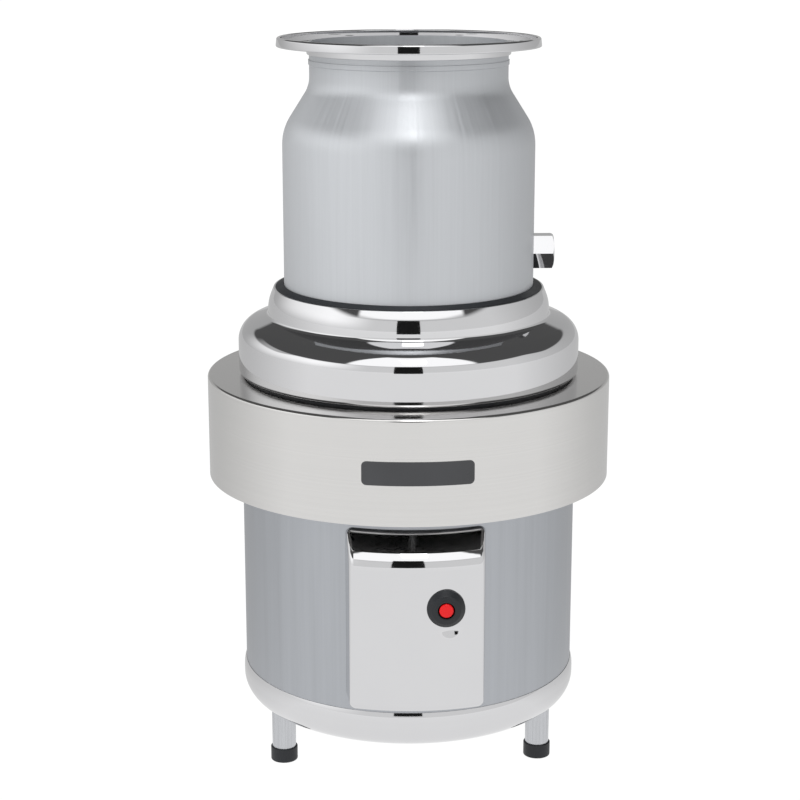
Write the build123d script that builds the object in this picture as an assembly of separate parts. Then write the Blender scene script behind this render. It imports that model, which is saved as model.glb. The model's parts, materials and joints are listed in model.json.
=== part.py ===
from build123d import *
from math import asin, cos, degrees, radians, sin, sqrt
import os

# Kitchen garbage disposal: a three-legged food waste disposer that hangs under a sink bowl.
# Food falls through the throat and hopper onto a spinning turntable, whose swivel lugs throw it
# against the stationary shredder ring. Water carries it through the drain chamber to the rear outlet.
#
# All sizes are in millimetres. Heights are measured up from the floor while modelling, and
# save() lowers each piece by SEAT_HEIGHT, so that the part's origin is the centre of the
# mounting flange's gasket seat. +Z is up, -Y is the front with the terminal cover, +Y the drain.

# Mounting flange
SEAT_HEIGHT = 636.0
FLANGE_R = 114.0
FLANGE_PLATE = 4.0
FLANGE_LIP = 4.0
FLANGE_HOLES = 6
FLANGE_HOLE_R = 4.0
FLANGE_HOLE_CIRCLE_R = 99.0
COLLAR_R = 88.5
COLLAR_BOTTOM = 625.3
FLANGE_TAPER = 0.8

# Hopper
THROAT_R = 84.15
NECK_WALL = 1.5
NECK_R = THROAT_R + NECK_WALL
NECK_BEAD_R = 86.4
NECK_BEAD_BOTTOM = 617.0
NECK_BEAD_TOP = 621.0
HOPPER_R = 109.6
HOPPER_WALL = 3.0
MOUNT_RING_TOP = 427.2
HOPPER_BOTTOM = 416.0
SHOULDER_TOP = 598.7
SHOULDER_BOTTOM = 561.2

# Water inlet, 1/2 in pipe thread in a hexagon welded to the hopper
INLET_HEIGHT = 454.0
INLET_FLATS = 28.6
INLET_FACE_X = 127.0
INLET_BORE_R = 9.2
INLET_SHANK_R = 12.0

# Grind housing, the bright dome under the hopper
COUNTERBORE_R = 117.4
HOUSING_COLLAR_R = 118.8
HOUSING_NECK_R = 124.0
HOUSING_R = 150.5
HOUSING_TOP = 424.0
HOUSING_LEDGE = 410.0
HOUSING_LEDGE_R = 104.5
HOUSING_BOTTOM = 349.0
SHREDDER_TOP = 392.0
SHREDDER_R = 112.0
SHREDDER_BORE_R = 104.0
SHREDDER_TEETH = 30
HOUSING_BOLTS = 6
HOUSING_BOLT_CIRCLE_R = 131.5
BOLT_R = 4.0

# Trim band
BAND_R = 178.3
BAND_TOP = 347.6
BAND_BOTTOM = 257.2
BAND_SHEET = 1.5
BAND_NOTCH_R = 45.2
PLATE_THICK = 0.6
PLATE_HALF_ANGLE = 15.0
PLATE_BOTTOM = 292.0
PLATE_TOP = 312.0

# Drain chamber and outlet
CHAMBER_R = 112.0
CHAMBER_WALL = 5.0
CHAMBER_BOTTOM = 254.0
CHAMBER_FLOOR = 260.0
HUB_R = 45.0
HUB_BORE_R = 40.0
HUB_TOP = 338.0
DRAIN_HEIGHT = 299.5
DRAIN_R = 44.45
DRAIN_NECK_R = 43.4
DRAIN_BORE_R = 39.0
DRAIN_FACE_Y = 149.2
DRAIN_END_Y = 206.0
DRAIN_STEP_Y = 181.0
DRAIN_BOLT_X = 57.0
DRAIN_GASKET = 1.0
DRAIN_PLATE = 5.5

# Motor
SHELL_R = 148.8
SHELL_WALL = 2.0
SHELL_BOTTOM = 82.0
BELL_R = 150.8
BELL_BOTTOM = 47.5
BELL_WALL = 6.0
BELL_ROUND = 20.5
BELL_CROWN_HEIGHT = 77.8
BELL_CROWN_R = 22.0
FRAME_BOTTOM = 88.0
FRAME_R = 118.0
FRAME_WALL = 5.0
CORE_BOTTOM = 135.0
CORE_TOP = 215.0
STATOR_BORE_R = 65.3
ROTOR_R = 64.5
STATOR_SLOTS = 24
ROTOR_BARS = 28
THROUGH_BOLT_CIRCLE_R = 132.0
THROUGH_BOLTS = 4

# Shaft and bearings
SHAFT_R = 16.0
UPPER_JOURNAL_R = 20.0
LOWER_JOURNAL_R = 12.5
SEAL_LAND_R = 18.0
SHAFT_SHOULDER_R = 23.0
SHAFT_THREAD_R = 12.0
UPPER_BEARING_HEIGHT = 276.0
LOWER_BEARING_HEIGHT = 66.0
RUNNING_FIT = 0.05
ROLLER_FIT = 0.15
ROLLER_TILT = 12.0

# Turntable
TURNTABLE_R = 102.4
TURNTABLE_BOTTOM = 364.0
TURNTABLE_TOP = 371.0
LUG_PIVOT_R = 70.0
LUG_REACH = 29.0
LUG_PIN_R = 5.0

# Legs and feet
LEG_CIRCLE_R = 126.7
LEG_R = 10.65
LEG_WALL = 1.65
LEG_TOP = 74.0
FOOT_R = 12.0
FOOT_HEIGHT = 13.0
FOOT_FLOOR = 3.0
LEG_ANGLES = {"left": -154.6, "right": -25.4, "rear": 90.0}

# Terminal cover on the front of the motor shell
COVER_BACK_HALF = 58.7
COVER_FACE_HALF = 56.7
COVER_SIDE_Y = 138.0
COVER_CORNER_Y = 160.0
COVER_FACE_R = 172.0
COVER_BROW_R = 152.0
COVER_TOP = 245.0
COVER_FACE_TOP = 224.5
COVER_BROW_ROUND = 20.0
COVER_TOP_ROUND = 8.0
COVER_EDGE = 6.0
COVER_BOTTOM = 91.5
COVER_WALL = 2.0
COVER_SEAT_R = SHELL_R + 1.0
OPENING_HALF = 47.0
OPENING_BOTTOM = 104.0
OPENING_TOP = 226.0
BOX_BACK_Y = 126.0
BOX_WALL = 1.5
COVER_SCREW_X = 30.0
COVER_SCREW_Y = 154.5
GROUND_HEIGHT = 214.0

# Conduit entry: a bushing swaged into the back of the motor shell, for a 1/2 in conduit fitting
CONDUIT_R = 11.1
CONDUIT_NECK_R = 13.0
CONDUIT_BUSHING_R = 15.5
CONDUIT_HEIGHT = 130.0
CONDUIT_FACE_Y = 152.0
CONDUIT_END_Y = 142.0

# Overload reset button
BUTTON_X = 23.6
BUTTON_Y = 171.8
BUTTON_HEIGHT = 184.0
BUTTON_R = 6.0
STEM_R = 3.0
BOOT_R = 16.0
BOOT_NECK_R = 14.0
BOOT_BORE_R = 7.2
DIMPLE_X = 27.4
DIMPLE_HEIGHT = 168.4
DIMPLE_BALL_R = 27.0
DIMPLE_R = 11.0
DIMPLE_EDGE = 8.0
MOVING_GAP = 0.3

STAND = (Align.CENTER, Align.CENTER, Align.MIN)


def turned(outline):
    """Solid turned about Z. Each point is (radius, height) or (radius, height, corner radius)."""
    points = [(point[0], point[1]) for point in outline]
    corners = [point[2] if len(point) > 2 else 0 for point in outline]
    face = Plane.XZ * make_face(FilletPolyline(*points, radius=corners, close=True))
    return revolve(face, Axis.Z)


def post(radius, low, high):
    """Upright cylinder on the main axis."""
    return Pos(0, 0, low) * Cylinder(radius, high - low, align=STAND)


def tube(inner, outer, low, high):
    """Upright ring on the main axis."""
    return post(outer, low, high) - post(inner, low, high)


def block(x, y, z):
    """Box between the pairs of limits x, y and z."""
    middle = [(low + high) / 2 for low, high in (x, y, z)]
    size = [high - low for low, high in (x, y, z)]
    return Pos(*middle) * Box(*size)


def at_polar(shape, radius, angle):
    """Shape moved out along X by radius, then turned about Z by angle."""
    return Rot(0, 0, angle) * (Pos(radius, 0, 0) * shape)


def around(shape, count, first=0.0):
    """Copies of a shape spaced evenly about Z."""
    return [Rot(0, 0, first + 360.0 * i / count) * shape for i in range(count)]


def group(shapes):
    """Separate solids kept together as one node."""
    return Compound(children=[shape for shape in shapes])


def hexagon(flats, low, high):
    """Upright hexagonal prism on the main axis, with flats facing +Y and -Y."""
    sketch = RegularPolygon(flats / 2, 6, major_radius=False)
    return Pos(0, 0, low) * extrude(sketch, high - low)


def hex_bolt(radius, flats, head_low, head_high, tip):
    """Hex-headed bolt on the main axis, whose shank runs from the head to the height tip."""
    head = hexagon(flats, head_low, head_high)
    edges = head.edges().filter_by(Axis.Z, reverse=True)
    outer = edges.group_by(Axis.Z)[0 if tip > head_high else -1]
    head = chamfer(outer, 0.12 * (head_high - head_low))
    return head + post(radius, min(tip, head_high), max(tip, head_low))


def to_right(shape, x, y, z):
    """Turns a shape's +Z to +X and moves it."""
    return Pos(x, y, z) * (Rot(0, 90, 0) * shape)


def to_rear(shape, x, y, z):
    """Turns a shape's +Z to +Y and moves it."""
    return Pos(x, y, z) * (Rot(-90, 0, 0) * shape)


def to_front(shape, x, y, z):
    """Turns a shape's +Z to -Y and moves it."""
    return Pos(x, y, z) * (Rot(90, 0, 0) * shape)


# --- Hopper and flange -------------------------------------------------------------------------

def mounting_flange():
    plate_bottom = SEAT_HEIGHT - FLANGE_PLATE
    lip_r = FLANGE_R - FLANGE_LIP
    lip_top = SEAT_HEIGHT + FLANGE_LIP
    flange = turned([
        (NECK_R, SEAT_HEIGHT), (lip_r, SEAT_HEIGHT), (lip_r, lip_top, 1.0),
        (FLANGE_R - FLANGE_TAPER, lip_top, 2.0), (FLANGE_R, plate_bottom, 1.0), (COLLAR_R, plate_bottom, 1.5),
        (COLLAR_R, COLLAR_BOTTOM, 1.0), (NECK_R, COLLAR_BOTTOM)])
    hole = at_polar(post(FLANGE_HOLE_R, plate_bottom - 1, SEAT_HEIGHT + 1), FLANGE_HOLE_CIRCLE_R, 0)
    return flange - around(hole, FLANGE_HOLES)


def hopper():
    inner_r = HOPPER_R - HOPPER_WALL
    body = turned([
        (THROAT_R, SEAT_HEIGHT), (NECK_R, SEAT_HEIGHT), (NECK_R, NECK_BEAD_TOP),
        (NECK_BEAD_R, NECK_BEAD_TOP, 0.3), (NECK_BEAD_R, NECK_BEAD_BOTTOM, 0.3),
        (NECK_R, NECK_BEAD_BOTTOM - 0.6), (NECK_R, SHOULDER_TOP, 26.0),
        (HOPPER_R, SHOULDER_BOTTOM, 44.0), (HOPPER_R, HOPPER_BOTTOM, 0.8), (inner_r, HOPPER_BOTTOM, 0.8),
        (inner_r, SHOULDER_BOTTOM + 1.3, 40.0), (THROAT_R, SHOULDER_TOP - 1.2, 22.0)])
    return body - to_right(post(INLET_SHANK_R, 0, HOPPER_R + 10), 0, 0, INLET_HEIGHT)


def water_inlet_fitting():
    start = 100.0
    hexagonal = Rot(0, 0, 30) * hexagon(INLET_FLATS, start, INLET_FACE_X)
    corner_r = INLET_FLATS / 2 / cos(radians(30))
    dome = turned([(0, start), (corner_r, start), (corner_r, INLET_FACE_X - 1.4),
                   (corner_r - 2.4, INLET_FACE_X), (0, INLET_FACE_X)])
    body = to_right(hexagonal & dome, 0, 0, INLET_HEIGHT) - post(HOPPER_R, 400, 500)
    shank = to_right(post(INLET_SHANK_R, start, INLET_FACE_X - 5), 0, 0, INLET_HEIGHT)
    shank -= post(HOPPER_R - HOPPER_WALL, 400, 500)
    return body + shank - to_right(post(INLET_BORE_R, 90, INLET_FACE_X + 1), 0, 0, INLET_HEIGHT)


def hopper_mount_ring():
    return turned([
        (HOUSING_LEDGE_R, HOUSING_LEDGE), (COUNTERBORE_R, HOUSING_LEDGE),
        (COUNTERBORE_R, HOUSING_TOP + 0.4, 0.8), (HOPPER_R, MOUNT_RING_TOP, 0.8),
        (HOPPER_R, HOPPER_BOTTOM), (HOUSING_LEDGE_R, HOPPER_BOTTOM)])


# --- Grinding chamber --------------------------------------------------------------------------

def grind_housing():
    body = turned([
        (COUNTERBORE_R, HOUSING_TOP), (HOUSING_COLLAR_R, HOUSING_TOP, 0.6), (HOUSING_NECK_R, 411.5, 36.0),
        (HOUSING_NECK_R, 400.0, 4.0), (HOUSING_R, 390.6, 18.5), (HOUSING_R, HOUSING_BOTTOM, 4.0),
        (SHREDDER_R, HOUSING_BOTTOM), (SHREDDER_R, SHREDDER_TOP), (HOUSING_LEDGE_R, SHREDDER_TOP),
        (HOUSING_LEDGE_R, HOUSING_LEDGE), (COUNTERBORE_R, HOUSING_LEDGE)])
    pocket = tube(SHREDDER_R + 6.5, HOUSING_R - 6.5, HOUSING_BOTTOM, 380.0)
    boss = at_polar(post(8.0, HOUSING_BOTTOM, 381.0), HOUSING_BOLT_CIRCLE_R, 0)
    hole = at_polar(post(BOLT_R, HOUSING_BOTTOM - 1, 372.0), HOUSING_BOLT_CIRCLE_R, 0)
    return body - pocket + around(boss, HOUSING_BOLTS) - around(hole, HOUSING_BOLTS)


def shredder_ring():
    ring = tube(SHREDDER_BORE_R, SHREDDER_R, HOUSING_BOTTOM, SHREDDER_TOP)
    notch = block((SHREDDER_BORE_R - 2, SHREDDER_BORE_R + 3.5), (-4.0, 4.0), (HOUSING_BOTTOM - 1, 380.0))
    groove = block((SHREDDER_BORE_R - 2, SHREDDER_BORE_R + 1.5), (-2.5, 2.5), (379.0, SHREDDER_TOP + 1))
    return ring - around(notch, SHREDDER_TEETH) - around(groove, SHREDDER_TEETH)


def housing_gasket():
    ring = tube(106.0, HOUSING_R - 4.5, BAND_TOP, HOUSING_BOTTOM)
    hole = at_polar(post(BOLT_R + 0.5, BAND_TOP - 1, HOUSING_BOTTOM + 1), HOUSING_BOLT_CIRCLE_R, 0)
    return ring - around(hole, HOUSING_BOLTS)


def housing_bolts():
    flange_bottom = BAND_TOP - BAND_SHEET - 8.0
    bolt = hex_bolt(BOLT_R, 13.0, flange_bottom - 5.5, flange_bottom, 370.0)
    return group(around(at_polar(bolt, HOUSING_BOLT_CIRCLE_R, 0), HOUSING_BOLTS))


def trim_band():
    under = BAND_TOP - BAND_SHEET
    inside = BAND_R - BAND_SHEET
    band = turned([
        (120.0, under), (120.0, BAND_TOP), (BAND_R, BAND_TOP, 2.6), (BAND_R, BAND_BOTTOM),
        (inside, BAND_BOTTOM), (inside, under, 1.2)])
    hole = at_polar(post(BOLT_R + 0.5, under - 1, BAND_TOP + 1), HOUSING_BOLT_CIRCLE_R, 0)
    reach = DRAIN_HEIGHT - BAND_BOTTOM + 5.0
    notch = Polyline((BAND_NOTCH_R, 0), (BAND_NOTCH_R, reach), (-BAND_NOTCH_R, reach), (-BAND_NOTCH_R, 0))
    notch += ThreePointArc((-BAND_NOTCH_R, 0), (0, -BAND_NOTCH_R), (BAND_NOTCH_R, 0))
    notch = to_rear(extrude(make_face(notch), 60.0), 0, 150, DRAIN_HEIGHT)
    return band - around(hole, HOUSING_BOLTS) - notch


def name_plate():
    plate = tube(BAND_R, BAND_R + PLATE_THICK, PLATE_BOTTOM, PLATE_TOP)
    half_width = BAND_R * sin(radians(PLATE_HALF_ANGLE))
    middle = (PLATE_BOTTOM + PLATE_TOP) / 2
    window = extrude(RectangleRounded(2 * half_width, PLATE_TOP - PLATE_BOTTOM, 4.0), 40.0)
    return plate & to_front(window, 0, -150, middle)


# --- Drain chamber -----------------------------------------------------------------------------

def drain_flange_shape():
    """Two-bolt flange outline, long way across, around the drain bore."""
    ears = [Pos(x, 0) * Circle(11.5) for x in (-DRAIN_BOLT_X, DRAIN_BOLT_X)]
    outline = Sketch() + [Circle(45.0), *ears]
    return make_hull(outline.edges())


def drain_chamber():
    top = BAND_TOP - BAND_SHEET
    wall_r = CHAMBER_R + CHAMBER_WALL
    body = turned([
        (34.0, CHAMBER_BOTTOM), (SHELL_R - SHELL_WALL - 4.0, CHAMBER_BOTTOM),
        (SHELL_R - SHELL_WALL - 4.0, CHAMBER_BOTTOM - 5.0), (SHELL_R - SHELL_WALL, CHAMBER_BOTTOM - 5.0),
        (SHELL_R - SHELL_WALL, CHAMBER_BOTTOM), (SHELL_R, CHAMBER_BOTTOM),
        (SHELL_R, CHAMBER_BOTTOM + 8.0, 2.0), (wall_r, CHAMBER_BOTTOM + 8.0, 3.0), (wall_r, top - 8.0, 3.0),
        (146.0, top - 8.0, 1.0), (146.0, top), (119.6, top), (119.6, BAND_TOP), (CHAMBER_R, BAND_TOP),
        (CHAMBER_R, CHAMBER_FLOOR, 6.0), (HUB_R, CHAMBER_FLOOR, 6.0), (HUB_R, HUB_TOP, 1.0),
        (HUB_BORE_R, HUB_TOP), (HUB_BORE_R, 267.0), (34.0, 267.0)])
    rib = block((wall_r - 1, 140.0), (-3.0, 3.0), (CHAMBER_BOTTOM + 4, top - 4))
    boss = to_rear(extrude(drain_flange_shape(), DRAIN_FACE_Y - 100), 0, 100, DRAIN_HEIGHT)
    boss -= post(CHAMBER_R + 1.0, CHAMBER_BOTTOM - 1, top + 1)
    bore = to_rear(post(DRAIN_BORE_R, 95, DRAIN_FACE_Y + 1), 0, 0, DRAIN_HEIGHT)
    body = body + around(rib, 6, 30.0) + boss - bore
    body -= around(at_polar(post(BOLT_R, top - 9, top + 1), HOUSING_BOLT_CIRCLE_R, 0), HOUSING_BOLTS)
    body -= around(at_polar(post(BOLT_R, 240, CHAMBER_BOTTOM + 9), THROUGH_BOLT_CIRCLE_R, 0),
                   THROUGH_BOLTS, 45.0)
    for x in (-DRAIN_BOLT_X, DRAIN_BOLT_X):
        body -= to_rear(post(BOLT_R, DRAIN_FACE_Y - 20, DRAIN_FACE_Y + 1), x, 0, DRAIN_HEIGHT)
    return body


def drain_flange_plate(thickness, bore_r):
    """Flange plate standing on its rear face, drilled for the drain and its two bolts."""
    plate = extrude(drain_flange_shape(), thickness) - post(bore_r, -1, thickness + 1)
    for x in (-DRAIN_BOLT_X, DRAIN_BOLT_X):
        plate -= Pos(x, 0, 0) * post(BOLT_R + 0.4, -1, thickness + 1)
    return plate


def drain_gasket():
    return to_rear(drain_flange_plate(DRAIN_GASKET, DRAIN_BORE_R), 0, DRAIN_FACE_Y, DRAIN_HEIGHT)


def drain_outlet():
    face = DRAIN_FACE_Y + DRAIN_GASKET
    pipe = turned([
        (DRAIN_BORE_R, 0), (DRAIN_NECK_R, 0), (DRAIN_NECK_R, DRAIN_STEP_Y - face),
        (DRAIN_R, DRAIN_STEP_Y - face), (DRAIN_R, DRAIN_END_Y - face), (DRAIN_BORE_R, DRAIN_END_Y - face)])
    return to_rear(drain_flange_plate(DRAIN_PLATE, DRAIN_BORE_R) + pipe, 0, face, DRAIN_HEIGHT)


def drain_bolts():
    head = DRAIN_FACE_Y + DRAIN_GASKET + DRAIN_PLATE
    bolt = hex_bolt(BOLT_R, 13.0, head, head + 5.0, head - 25.0)
    return group([to_rear(bolt, x, 0, DRAIN_HEIGHT) for x in (-DRAIN_BOLT_X, DRAIN_BOLT_X)])


def shaft_seal():
    lip = SEAL_LAND_R + RUNNING_FIT
    return turned([
        (21.0, 318.0), (HUB_BORE_R, 318.0), (HUB_BORE_R, 330.0), (37.0, 330.0), (37.0, 321.5),
        (23.0, 321.5), (23.0, 328.0), (20.0, 328.0), (lip, 324.5), (lip, 321.0)])


# --- Tapered roller bearings -------------------------------------------------------------------

class TaperedBearing:
    """Cup, cone, rollers and cage of a tapered roller bearing, with its large end up or down."""

    def __init__(self, height, bore_r, outer_r, pitch_r, roller_r, roller_length, count, large_end_up):
        self.height = height
        self.bore_r = bore_r
        self.outer_r = outer_r
        self.pitch_r = pitch_r
        self.half = roller_length / 2
        self.small_r = roller_r * 0.9
        self.large_r = roller_r * 1.1
        self.count = count
        self.turn = Rot(0, 0, 0) if large_end_up else Rot(180, 0, 0)

    def place(self, shape):
        return Pos(0, 0, self.height) * (self.turn * shape)

    def roller_point(self, along, side):
        """Point (radius, height) on the roller's outline at one end, outwards or inwards."""
        tilt = radians(ROLLER_TILT)
        radius = self.large_r if along > 0 else self.small_r
        return (self.pitch_r + along * sin(tilt) + side * radius * cos(tilt),
                along * cos(tilt) - side * radius * sin(tilt))

    def race_radius(self, side, height):
        """Radius of the cup's (side 1) or cone's (side -1) raceway at a height."""
        low = self.roller_point(-self.half, side)
        high = self.roller_point(self.half, side)
        slope = (high[0] - low[0]) / (high[1] - low[1])
        return low[0] + (height - low[1]) * slope + side * ROLLER_FIT

    def cup(self):
        low = -self.half - 2.0
        high = self.half + 0.5
        return self.place(turned([
            (self.race_radius(1, low), low), (self.outer_r, low, 0.8), (self.outer_r, high, 0.8),
            (self.race_radius(1, high), high)]))

    def cone(self):
        low = self.roller_point(-self.half, -1)[1] - 0.6
        high = self.roller_point(self.half, -1)[1] + 0.5
        low_r = self.race_radius(-1, low)
        high_r = self.race_radius(-1, high)
        rib = 0.11 * self.pitch_r
        return self.place(turned([
            (self.bore_r, low - 2.0), (low_r + 0.3 * rib, low - 2.0), (low_r + 0.3 * rib, low), (low_r, low),
            (high_r, high), (high_r + rib, high), (high_r + rib, high + 2.5), (self.bore_r, high + 2.5)]))

    def roller(self, growth=0.0):
        """One roller, or its pocket when it is grown."""
        solid = Cone(self.small_r + growth, self.large_r + growth, 2 * (self.half + growth))
        return Pos(self.pitch_r, 0, 0) * (Rot(0, ROLLER_TILT, 0) * solid)

    def rollers(self):
        return group([self.place(roller) for roller in around(self.roller(), self.count)])

    def cage(self):
        tilt = radians(ROLLER_TILT)
        reach = self.half + 1.8
        sheet = 0.11 * self.large_r + 0.2
        out = (sheet * cos(tilt), -sheet * sin(tilt))
        low = (self.pitch_r - reach * sin(tilt), -reach * cos(tilt))
        high = (self.pitch_r + reach * sin(tilt), reach * cos(tilt))
        ring = turned([
            (low[0] - out[0], low[1] - out[1]), (low[0] + out[0], low[1] + out[1]),
            (high[0] + out[0], high[1] + out[1]), (high[0] - out[0], high[1] - out[1])])
        return self.place(ring - around(self.roller(0.2), self.count))


UPPER_BEARING = TaperedBearing(UPPER_BEARING_HEIGHT, UPPER_JOURNAL_R, HUB_BORE_R, 30.5, 5.1, 13.0, 15, True)
LOWER_BEARING = TaperedBearing(LOWER_BEARING_HEIGHT, LOWER_JOURNAL_R, 26.0, 19.6, 3.4, 9.0, 14, False)


# --- Rotor -------------------------------------------------------------------------------------

def shaft():
    return turned([
        (0, 53.0), (LOWER_JOURNAL_R, 53.0, 1.0), (LOWER_JOURNAL_R, 73.6), (15.0, 73.6), (15.0, 84.0),
        (SHAFT_R, 84.0), (SHAFT_R, 236.0), (SHAFT_SHOULDER_R, 236.0, 2.0), (SHAFT_SHOULDER_R, 267.5),
        (UPPER_JOURNAL_R, 267.5), (UPPER_JOURNAL_R, 298.0), (SEAL_LAND_R, 298.0), (SEAL_LAND_R, 345.0),
        (SHAFT_R, 345.0), (SHAFT_R, 370.5), (SHAFT_THREAD_R, 370.5), (SHAFT_THREAD_R, 386.0, 1.0), (0, 386.0)])


def rotor_core():
    core = tube(SHAFT_R, ROTOR_R, CORE_BOTTOM - 2, CORE_TOP + 2)
    hole = at_polar(post(2.7, CORE_BOTTOM - 3, CORE_TOP + 3), ROTOR_R - 6, 0)
    return core - around(hole, ROTOR_BARS)


def rotor_cage():
    rings = tube(36.0, ROTOR_R - 2.5, CORE_BOTTOM - 13, CORE_BOTTOM - 2)
    rings += tube(36.0, ROTOR_R - 2.5, CORE_TOP + 2, CORE_TOP + 13)
    bar = at_polar(post(2.6, CORE_BOTTOM - 3, CORE_TOP + 3), ROTOR_R - 6, 0)
    return rings + around(bar, ROTOR_BARS)


def cooling_fan():
    fan = tube(SHAFT_R, 30.0, 92.0, 106.0) + tube(30.0, 108.0, 92.0, 94.0)
    blade = block((58.0, 107.0), (-1.0, 1.0), (93.0, 105.0))
    return fan + around(blade, 12)


def bearing_lock_nut():
    low = UPPER_BEARING_HEIGHT + 10.6
    nut = tube(UPPER_JOURNAL_R, 30.0, low, low + 8.0)
    slot = block((27.0, 32.0), (-3.0, 3.0), (low - 1, low + 9.0))
    return nut - around(slot, 4)


def flinger():
    return turned([
        (SEAL_LAND_R, 340.5), (47.0, 340.5), (47.0, 333.0), (49.0, 333.0), (49.0, 343.0, 1.0),
        (SEAL_LAND_R, 343.0)])


def turntable():
    table = turned([
        (SHAFT_R, 345.0), (28.0, 345.0, 1.0), (28.0, TURNTABLE_BOTTOM, 4.0),
        (TURNTABLE_R, TURNTABLE_BOTTOM, 0.8), (TURNTABLE_R, TURNTABLE_TOP, 0.8), (30.0, TURNTABLE_TOP),
        (26.0, TURNTABLE_TOP + 2.0), (SHAFT_R, TURNTABLE_TOP + 2.0)])
    undercutter = block((40.0, 98.0), (-4.0, 4.0), (TURNTABLE_BOTTOM - 6.0, TURNTABLE_BOTTOM + 1.0))
    table += around(undercutter, 2, 90.0)
    return table - around(at_polar(post(LUG_PIN_R, 350, 380), LUG_PIVOT_R, 0), 2)


def turntable_nut():
    low = TURNTABLE_TOP + 2.0
    washer = tube(SHAFT_THREAD_R, 22.0, low, low + 2.5)
    return washer + hexagon(34.0, low + 2.0, low + 11.0) - post(SHAFT_THREAD_R, low - 1, low + 12)


def lug_pins():
    """Rivets that hold the swivel lugs, each with its head above the lug."""
    rivet = turned([
        (0, TURNTABLE_BOTTOM - 3.0), (8.0, TURNTABLE_BOTTOM - 3.0, 1.0), (8.0, TURNTABLE_BOTTOM),
        (LUG_PIN_R, TURNTABLE_BOTTOM), (LUG_PIN_R, 383.0), (9.0, 383.0), (9.0, 387.0, 2.0), (0, 387.0)])
    return group(around(at_polar(rivet, LUG_PIVOT_R, 0), 2))


def swivel_lug():
    """Swinging hammer on the +X pin: a bar with a tall striking head at its outer end."""
    low = TURNTABLE_TOP + MOVING_GAP
    bar = Pos(LUG_PIVOT_R + 5.0, 0, low) * extrude(SlotOverall(46.0, 22.0), 11.0)
    head = block((LUG_PIVOT_R + 16.0, LUG_PIVOT_R + LUG_REACH - 1.0), (-10.0, 10.0), (low, low + 19.0))
    reach = Pos(LUG_PIVOT_R, 0, 0) * post(LUG_REACH - 0.5, low - 1, low + 20.0)
    lug = (bar + head) & reach
    return lug - Pos(LUG_PIVOT_R, 0, 0) * post(LUG_PIN_R + RUNNING_FIT, low - 1, low + 20.0)


# --- Motor -------------------------------------------------------------------------------------

def shell_opening():
    return block((-OPENING_HALF, OPENING_HALF), (-170, -110), (OPENING_BOTTOM, OPENING_TOP))


def shell_wall():
    """Motor shell's cylindrical wall with the hole for the conduit bushing."""
    wall = tube(SHELL_R - SHELL_WALL, SHELL_R, SHELL_BOTTOM, CHAMBER_BOTTOM)
    return wall - to_rear(post(CONDUIT_NECK_R, 130, 160), 0, 0, CONDUIT_HEIGHT)


def motor_shell():
    return shell_wall() - shell_opening()


def conduit_bushing():
    spool = post(CONDUIT_BUSHING_R, CONDUIT_END_Y, CONDUIT_FACE_Y)
    spool = chamfer(spool.edges(), 0.8) - post(CONDUIT_R, 130, 160)
    return to_rear(spool, 0, 0, CONDUIT_HEIGHT) - shell_wall()


def stator_frame():
    frame = tube(FRAME_R, FRAME_R + FRAME_WALL, FRAME_BOTTOM, CHAMBER_BOTTOM)
    return frame - block((-12.0, 12.0), (-130, -110), (118.0, 130.0))


def stator_core():
    core = tube(STATOR_BORE_R, FRAME_R, CORE_BOTTOM, CORE_TOP)
    slot = block((68.0, 94.0), (-3.2, 3.2), (CORE_BOTTOM - 1, CORE_TOP + 1))
    mouth = block((60.0, 70.0), (-1.4, 1.4), (CORE_BOTTOM - 1, CORE_TOP + 1))
    return core - around(slot + mouth, STATOR_SLOTS)


def stator_windings():
    """Copper end turns above and below the core, joined by the coil sides in its slots."""
    lower = turned([
        (70.0, 111.0, 6.0), (104.0, 111.0, 10.0), (104.0, CORE_BOTTOM, 3.0), (70.0, CORE_BOTTOM, 2.0)])
    upper = turned([
        (70.0, CORE_TOP, 2.0), (104.0, CORE_TOP, 3.0), (104.0, 239.0, 10.0), (70.0, 239.0, 6.0)])
    side = block((71.5, 93.5), (-2.9, 2.9), (CORE_BOTTOM - 6, CORE_TOP + 6))
    return lower + upper + around(side, STATOR_SLOTS)


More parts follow.
